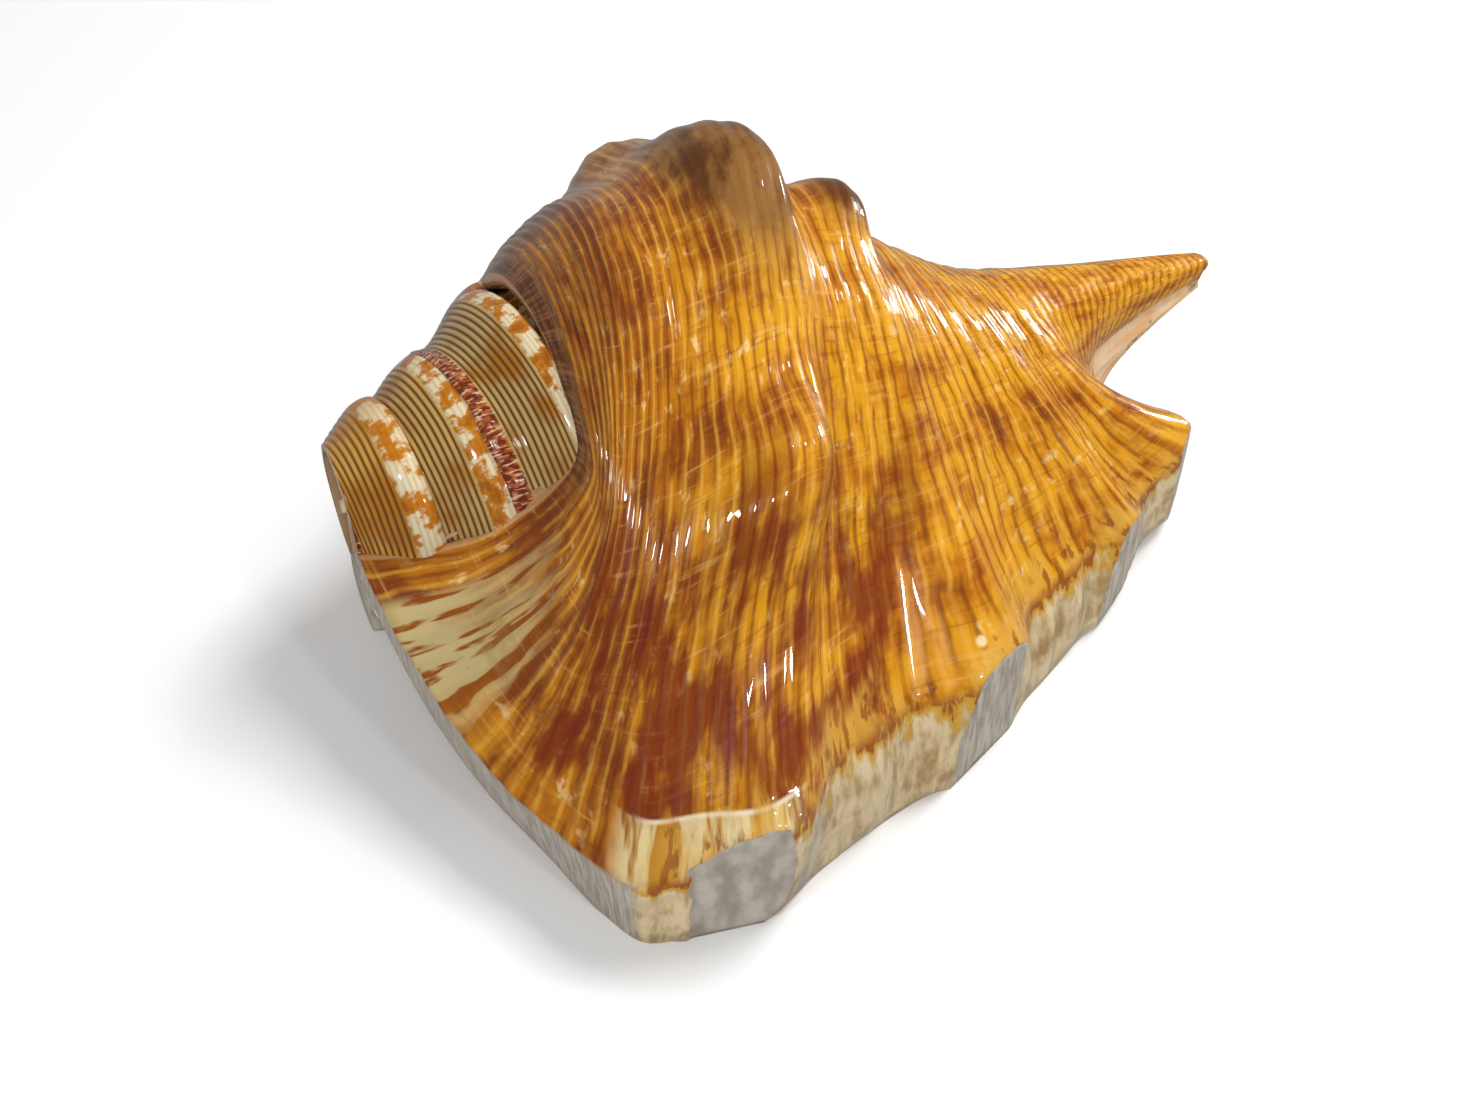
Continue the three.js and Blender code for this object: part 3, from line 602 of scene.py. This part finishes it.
class Wire:
    """A node's output socket, with arithmetic: each operator adds a Math node."""

    def __init__(self, tree, socket=None):
        self.tree, self.socket = tree, socket

    def add(self, kind, settings=None, inputs=None, out=0):
        """A node of that kind: its settings first, then the values or links of its
        sockets. Returns its output."""
        made = self.tree.nodes.new(kind)
        for name, value in (settings or {}).items():
            if name == "stops":
                ramp = made.color_ramp
                while len(ramp.elements) > 1:
                    ramp.elements.remove(ramp.elements[-1])
                ramp.elements[0].position, ramp.elements[0].color = value[0]
                for position, colour in value[1:]:
                    ramp.elements.new(position).color = colour
            else:
                setattr(made, name, value)
        for name, value in (inputs or {}).items():
            if isinstance(value, Wire):
                self.tree.links.new(value.socket, made.inputs[name])
            else:
                made.inputs[name].default_value = value
        return Wire(self.tree, made.outputs[out]) if made.outputs else made

    def sum_of(self, operation, a, b):
        return self.add("ShaderNodeMath", {"operation": operation}, {0: a, 1: b})

    def __add__(self, other):
        return self.sum_of("ADD", self, other)

    def __radd__(self, other):
        return self.sum_of("ADD", other, self)

    def __sub__(self, other):
        return self.sum_of("SUBTRACT", self, other)

    def __rsub__(self, other):
        return self.sum_of("SUBTRACT", other, self)

    def __mul__(self, other):
        return self.sum_of("MULTIPLY", self, other)

    def __rmul__(self, other):
        return self.sum_of("MULTIPLY", other, self)


def tone(code):
    """A display colour such as c87819 as linear red, green, blue, alpha."""
    values = [int(code[i:i + 2], 16) / 255 for i in (0, 2, 4)]
    return tuple(v / 12.92 if v <= 0.04045 else ((v + 0.055) / 1.055) ** 2.4 for v in values) + (1.0,)


def step_up(value, a, b):
    """0 to 1 as value goes from a to b, smoothly. a may be above b."""
    if a > b:
        return 1 - step_up(value, b, a)
    return value.add("ShaderNodeMapRange", {"interpolation_type": "SMOOTHSTEP"},
                     {"Value": value, "From Min": a, "From Max": b})


def hump(value, middle, half):
    """1 at the middle, 0 at half either side."""
    return step_up(value, middle - half, middle) * step_up(value, middle + half, middle)


def blend(factor, a, b):
    """Colour a where factor is 0, b where it is 1."""
    return factor.add("ShaderNodeMix", {"data_type": "RGBA"}, {0: factor, 6: a, 7: b}, out=2)


def lay(under, factor, code):
    """The display colour code laid over a colour, as thickly as factor says."""
    return blend(factor, under, tone(code))


def to_and_fro(value):
    """Up from 0 to 0.5 and down again, once each unit of value."""
    return value.add("ShaderNodeMath", {"operation": "PINGPONG"}, {0: value, 1: 0.5})


def grain(sheet, across, along, detail=3.0, rough=0.55, seed=0.0):
    """Noise on the sheet's own directions: across and along are its grain in mm."""
    cord_mm, grow_mm = sheet
    lengths = {0: cord_mm * (1 / across), 1: grow_mm * (1 / along), 2: seed}
    spot = cord_mm.add("ShaderNodeCombineXYZ", None, lengths)
    settings = {"Vector": spot, "Scale": 1.0, "Detail": detail, "Roughness": rough}
    return spot.add("ShaderNodeTexNoise", None, settings)


class Skin:
    """The sheet's marks, and the patterns that lie on it: broad clouds, streaks along
    the growth, cords two millimetres apart with finer threads between them, short
    pale dashes, the growth lines that cross them, and rays towards the margin."""

    CORD_PITCH = 2.1

    def __init__(self, wire):
        self.wire = wire
        for name in Parts.MARKS + ("sawn",):
            setattr(self, name, wire.add("ShaderNodeAttribute", {"attribute_name": name}, None, out=2))
        self.place_m = wire.add("ShaderNodeTexCoord", None, None, out=3)
        gentle = {"Vector": self.place_m, "Scale": 30.0, "Detail": 2.0}
        self.drift = wire.add("ShaderNodeTexNoise", None, gentle)
        self.wavy = self.cord + (self.drift - 0.5) * 2.2
        self.sheet = (self.wavy, self.grow)
        self.clouds = grain(self.sheet, 15, 17, 5, 0.62, 1.0)
        self.streaks = grain(self.sheet, 4.5, 13, 4, 0.6, 2.0)
        self.threads = grain(self.sheet, 0.8, 9, 2, 0.5, 3.0)
        self.dashes = grain(self.sheet, 1.7, 4.5, 3, 0.6, 4.0)
        self.growth_lines = grain(self.sheet, 11, 1.1, 3, 0.6, 5.0)
        self.rays = grain(self.sheet, 5.0, 34, 4, 0.6, 6.0)
        self.jitter = grain(self.sheet, 7, 12, 2, 0.5, 12.0)
        self.cords = to_and_fro(self.wavy * (1 / self.CORD_PITCH) + (self.jitter - 0.5) * 0.7) * 2
        self.beads = grain((self.cord, self.grow), 1.6, 0.8, 1, 0.5, 8.0)
        self.wall_sheet = (self.fresh * 26, self.cord)
        self.wall_layers = grain(self.wall_sheet, 9, 1.6, 4, 0.65, 11.0)


def amber_back(skin):
    """Rust by the spire and gold towards the canal, drawn over by the dark cords with a painted
    glint along each cord's crest, the threads between them, pale dashes and crossing growth lines."""
    golden_zone = step_up(skin.across + (skin.clouds - 0.5) * 0.3, 0.34, 0.50)
    light_tone = blend(golden_zone, tone("b06a04"), tone("d49410"))
    deep_tone = blend(golden_zone, tone("824000"), tone("b46a00"))
    cloudy = skin.clouds + (skin.streaks - 0.5) * 0.5 + (skin.threads - 0.5) * 0.25
    amber = blend(step_up(cloudy, 0.38, 0.60), deep_tone, light_tone)
    amber = lay(amber, step_up(skin.clouds + (skin.streaks - 0.5) * 0.6, 0.42, 0.30) * 0.7, "722c00")
    amber = lay(amber, step_up(skin.cords, 0.42, 0.06) * step_up(skin.jitter, 0.28, 0.52) * 0.62, "6a2a00")
    # Painted highlight: a pale gold glint laid along the crest of each cord, where the lacquer's highlight
    # would catch it.
    amber = lay(amber, step_up(skin.cords, 0.60, 0.95) * step_up(skin.jitter, 0.66, 0.46) * 0.45, "e4ac40")
    amber = lay(amber, step_up(skin.threads, 0.44, 0.34) * 0.25, "602600")
    amber = lay(amber, step_up(skin.dashes, 0.57, 0.70) * step_up(skin.clouds, 0.42, 0.62) * 0.60, "f2d090")
    pale_lines = step_up(skin.growth_lines, 0.56, 0.70) * step_up(skin.jitter, 0.62, 0.44)
    dark_lines = step_up(skin.growth_lines, 0.44, 0.34) * step_up(skin.streaks, 0.60, 0.44)
    amber = lay(amber, pale_lines * 0.34, "e2b468")
    amber = lay(amber, dark_lines * 0.34, "6a2a00")

    # The ramp between the suture and the knobs is browner.
    ramp_zone = step_up(skin.across, 0.34, 0.20) * step_up(skin.lipward, 0.55, 0.30)
    ramp_tone = blend(step_up(skin.threads + (skin.clouds - 0.5), 0.40, 0.62), tone("5a2804"), tone("87551c"))
    return blend(ramp_zone * 0.60, amber, ramp_tone)


def lip_markings(skin, back_tone):
    """On the lip: dark red-brown blotches with gold between them, and pale dots."""
    dots = skin.wire.add("ShaderNodeTexVoronoi", None, {"Vector": skin.place_m, "Scale": 95.0})
    ray_zone = step_up(skin.lipward, 0.50, 0.74) * step_up(skin.across, 0.16, 0.24)
    ray_zone = ray_zone * step_up(skin.across, 0.72, 0.56)
    blotches = grain(skin.sheet, 11, 30, 4, 0.6, 16.0) + (skin.rays - 0.5) * 0.6
    rust = step_up(blotches + (skin.threads - 0.5) * 0.15, 0.46, 0.58)
    marked = lay(back_tone, ray_zone * rust * 0.85, "701e00")
    marked = lay(marked, ray_zone * step_up(blotches, 0.42, 0.30) * 0.50, "dc9a1c")
    dotted = step_up(dots, 0.15, 0.07) * step_up(skin.lipward, 0.42, 0.55) * step_up(skin.clouds, 0.52, 0.62)
    return lay(marked, dotted * 0.8, "f3dcae")


def rear_wing(skin, back_tone):
    """The rear wing: past an orange strip by the spire it is cream, with brown lines."""
    wing = step_up(skin.lipward + (skin.rays - 0.5) * 0.4, 0.72, 0.90)
    wing = wing * step_up(skin.across, 0.062, 0.078) * step_up(skin.across, 0.23, 0.15)
    wing_lines = grain(skin.sheet, 1.2, 60, 2, 0.5, 7.0)
    lined = skin.cords * 0.30 + wing_lines * 1.2 + (skin.threads - 0.5) * 0.8 - (skin.across - 0.12) * 1.6
    cream = blend(step_up(lined, 0.60, 0.72), tone("8e4a04"), tone("bca874"))
    cream = lay(cream, step_up(skin.clouds, 0.42, 0.30) * 0.6, "a5884e")
    return blend(wing, back_tone, cream)


def collar_and_knobs(skin, back_tone):
    """The brown band beside the suture, with cross-hatched growth lines and a pale
    rim, and the knobs' thin-skinned tops: grey-brown on the crest, gold on the coil."""
    collar = step_up(skin.across, 0.082, 0.050) * step_up(skin.lipward, 0.74, 0.60)
    hatched = step_up(skin.growth_lines + (skin.threads - 0.5) * 0.6, 0.40, 0.66)
    collared = blend(collar * 0.9, back_tone, blend(hatched, tone("4a1f05"), tone("80502a")))
    collared = lay(collared, step_up(skin.across, 0.019, 0.012) * 0.7, "c99a70")
    crest = step_up(skin.knob, 1.5, 7.0) * step_up(skin.lipward, 0.0, 0.12)
    crest = crest * step_up(skin.lipward, 0.48, 0.38)
    cloudy = skin.clouds + (skin.streaks - 0.5) * 0.6
    crest_tone = blend(step_up(cloudy, 0.40, 0.60), tone("4e2a0c"), tone("80582e"))
    knobbed = blend(crest * 0.90, collared, crest_tone)
    on_coil = step_up(skin.lipward, 0.0, -0.06) * step_up(skin.knob, 3.0, 9.0)
    return lay(knobbed, on_coil * step_up(skin.streaks, 0.36, 0.60) * 0.8, "b4820e")


def edge_of_back(skin, back_tone):
    """Past the last growth step the rear corner is cream with amber blotches. All
    along the margin the brown ends in a ragged fringe, and the canal's tip is dull."""
    beyond = skin.lipward - (skin.across - STEP_FROM_U) * STEP_LEAN
    this_side = step_up(skin.across, 0.50, 0.47)
    corner = step_up(beyond, 0.937, 0.941) * step_up(skin.across, 0.345, 0.365) * this_side
    blotches = step_up(skin.rays + (skin.threads - 0.5) * 0.3, 0.50, 0.60)
    edged = blend(corner, back_tone, blend(blotches, tone("d6c08c"), tone("9c620e")))
    rim = hump(beyond, 0.938, 0.004) * step_up(skin.across, 0.36, 0.38) * this_side
    edged = lay(edged, rim * 0.8, "f5e6c4")
    ragged = skin.lipward + skin.fresh * 0.35 + (skin.rays - 0.5) * 0.20 + (skin.threads - 0.5) * 0.06
    fringe = step_up(ragged, 0.950, 0.985) * step_up(skin.across, 0.36, 0.40)
    edged = lay(edged, fringe * step_up(skin.streaks, 0.40, 0.56) * 0.75, "cf9c3c")
    edged = lay(edged, fringe * step_up(skin.threads + (skin.dashes - 0.5), 0.44, 0.34) * 0.70, "7a3404")
    return lay(edged, step_up(skin.cord, 172, 196) * 0.6, "a88f4a")


def young_whorls(skin):
    """The spire: beaded rust cords by the suture, then fine ribs, ivory on the last
    band, then a smooth strip blotched orange and white."""
    spire_sheet = (skin.cord, skin.grow)
    ribs = to_and_fro(skin.band * RIBS + 0.1)
    patch = grain(spire_sheet, 7, 9, 2, 0.5, 9.0)
    golden = blend(step_up(patch, 0.40, 0.62), tone("a86d14"), tone("c89c48"))
    golden = lay(golden, step_up(skin.turn, 0.35, 1.0) * step_up(patch, 0.30, 0.52) * 0.75, "b3a069")
    ribbed = lay(golden, step_up(ribs, 0.14, 0.42), "683a06")
    ladder = grain(spire_sheet, 2.6, 0.55, 1, 0.5, 14.0)
    beaded = blend(step_up(skin.beads, 0.44, 0.62), tone("64240a"), tone("a4541e"))
    beaded = lay(beaded, step_up(ladder + (skin.beads - 0.5) * 0.3, 0.54, 0.66) * 0.8, "dcb296")
    blots = grain(spire_sheet, 4.5, 3.4, 4, 0.62, 15.0)
    blotched = blend(step_up(blots, 0.47, 0.54), tone("b8700e"), tone("d8c9a4"))
    blotched = lay(blotched, step_up(blots, 0.44, 0.36) * 0.7, "8e4a08")
    blotched = lay(blotched, step_up(ribs, 0.20, 0.42) * 0.25, "7a4410")
    young = blend(step_up(skin.band + (skin.beads - 0.5) * 0.03, 0.20, 0.24), beaded, ribbed)
    young = blend(step_up(skin.band + (skin.beads - 0.5) * 0.05, 0.735, 0.765), young, blotched)
    return lay(young, step_up(skin.turn, -0.2, -0.5) * 0.5, "b87a1c")


def margin_wall(skin):
    """The margin's wall: chalky cream and tan, below a ragged amber and brown edge."""
    stain = grain(skin.wall_sheet, 9, 11, 2, 0.5, 13.0)
    chalky = blend(step_up(stain * 0.5 + skin.wall_layers * 0.8, 0.50, 0.78), tone("a08254"), tone("d6c198"))
    chalky = lay(chalky, step_up(stain, 0.60, 0.72) * 0.25, "84642c")
    edge = skin.fresh + (skin.wall_layers - 0.5) * 0.9 + (stain - 0.5) * 0.6
    chalky = lay(chalky, step_up(edge, 0.30, 0.16), "c4962e")
    return lay(chalky, step_up(edge, 0.16, 0.08), "96500a")


def lacquered_shell():
    """Amber and rust porcelain under clear lacquer, with its cords and growth lines;
    bare lime where it was sawn; glossy cream to peach inside."""
    material = bpy.data.materials.new("lacquered_shell")
    material.use_nodes = True
    tree = material.node_tree
    tree.nodes.clear()
    wire = Wire(tree)
    skin = Skin(wire)

    colour = lip_markings(skin, amber_back(skin))
    colour = edge_of_back(skin, collar_and_knobs(skin, rear_wing(skin, colour)))
    colour = blend(skin.spire, colour, young_whorls(skin))
    colour = blend(skin.wall, colour, margin_wall(skin))
    inside = blend(step_up(skin.clouds, 0.40, 0.62), tone("eed8b4"), tone("e2b280"))
    colour = blend(skin.inner, colour, inside)

    # Bare lime: the rear edge, the finger stumps and the apex, with fine scratches.
    rear = skin.wall * step_up(skin.across, 0.375, 0.365)
    stump = step_up(skin.sawn, -0.15, 0.1)
    x_m = wire.add("ShaderNodeSeparateXYZ", None, {0: skin.place_m})
    saw_m = (SAWN_APEX_X + AXIS[0]) * MM
    apex = step_up(x_m, saw_m + 0.25 * MM, saw_m + 0.12 * MM)
    bare = wire.sum_of("MAXIMUM", wire.sum_of("MAXIMUM", rear, stump), apex)
    along_saw = wire.add("ShaderNodeMapping", None, {
        "Vector": skin.place_m, "Rotation": (0.5, 0.3, 0.6), "Scale": (90, 1800, 140)})
    scratches = wire.add("ShaderNodeTexNoise", None, {"Vector": along_saw, "Scale": 1.0, "Detail": 3.0})
    lime = blend(step_up(scratches, 0.30, 0.72), tone("948a7e"), tone("b8b0a4"))
    colour = blend(bare, colour, lime)

    # Height of the fine relief, in mm: the back's, the saw's scratches, the beads
    # of the spire and the wall's chalky grain.
    woven = (skin.threads - 0.5) * 0.10 + (skin.growth_lines - 0.5) * 0.06
    woven = woven + (skin.streaks - 0.5) * 0.12 + skin.cords * 0.20
    fine = woven * (1 - skin.inner) * (1 - bare) * (1 - skin.spire) + (scratches - 0.5) * 0.03 * bare
    fine = fine + (skin.beads - 0.5) * 0.18 * skin.spire * step_up(skin.band, 0.2, 0.17)
    fine = fine + (skin.wall_layers - 0.5) * 0.12 * skin.wall * (1 - bare)
    bump = wire.add("ShaderNodeBump", None, {"Height": fine * MM, "Distance": 1.0, "Strength": 0.8})
    surface = wire.add("ShaderNodeBsdfPrincipled", None, {
        "Base Color": colour, "Roughness": 0.20 + 0.10 * skin.drift + 0.34 * bare + 0.10 * skin.wall,
        "Normal": bump, "Coat Weight": 1 - 0.95 * bare, "Coat Roughness": 0.035, "Coat IOR": 1.38,
        "IOR": 1.45, "Specular IOR Level": 0.15})
    wire.add("ShaderNodeOutputMaterial", None, {"Surface": surface})
    return material


mesh.materials.append(lacquered_shell())
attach(shell, "root")
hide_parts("shell")

# ------------------------------------------------------------------- the floor
# A matt white table, far larger than the shell, with nothing on it.
FLOOR_HALF = 3.0
FLOOR_GREY = 0.86
corners = [(-FLOOR_HALF, -FLOOR_HALF, 0), (FLOOR_HALF, -FLOOR_HALF, 0),
           (FLOOR_HALF, FLOOR_HALF, 0), (-FLOOR_HALF, FLOOR_HALF, 0)]
floor_mesh = bpy.data.meshes.new("floor")
floor_mesh.from_pydata(corners, [], [(0, 1, 2, 3)])
floor = bpy.data.objects.new("floor", floor_mesh)
bpy.context.scene.collection.objects.link(floor)
floor_material = bpy.data.materials.new("matt_white")
floor_material.use_nodes = True
floor_surface = floor_material.node_tree.nodes["Principled BSDF"]
floor_surface.inputs["Base Color"].default_value = (FLOOR_GREY, FLOOR_GREY, FLOOR_GREY, 1)
floor_surface.inputs["Roughness"].default_value = 0.9
floor_mesh.materials.append(floor_material)
floor.visible_glossy = False

# ------------------------------------------------------------------- the light
# A pale room with two broad soft boxes, which the lacquer doesn't mirror, and four
# small ones that give it its highlights.
# Name, azimuth, elevation, way from the shell and size in metres, power, mirrored.
LAMPS = [
    ("overhead", 15, 60, 1.2, 0.50, 11.0, False),
    ("window", 21, 12, 0.9, 0.10, 2.2, True),
    ("front", -72, 36, 1.1, 0.07, 1.3, True),
    ("left", -157, 40, 1.0, 0.08, 1.6, True),
    ("fill", -120, 52, 1.2, 0.50, 3.4, False),
    ("skylight", 12, 56, 1.1, 0.07, 0.6, True),
]
ROOM_LIGHT = 0.28
bpy.context.scene.view_settings.view_transform = "Standard"
world = bpy.data.worlds.new("room")
bpy.context.scene.world = world
world.use_nodes = True
background = world.node_tree.nodes["Background"]
background.inputs["Color"].default_value = (1, 1, 1, 1)
background.inputs["Strength"].default_value = ROOM_LIGHT
for name, azimuth, elevation, away, size, power, mirrored in LAMPS:
    light = bpy.data.lights.new(name, "AREA")
    light.size = size
    light.energy = power
    lamp = bpy.data.objects.new(name, light)
    level = away * math.cos(math.radians(elevation))
    lamp.location = (level * math.cos(math.radians(azimuth)), level * math.sin(math.radians(azimuth)),
                     away * math.sin(math.radians(elevation)))
    lamp.rotation_euler = (Vector(LOOKS_AT) - lamp.location).to_track_quat("-Z", "Y").to_euler()
    lamp.visible_glossy = mirrored
    bpy.context.scene.collection.objects.link(lamp)
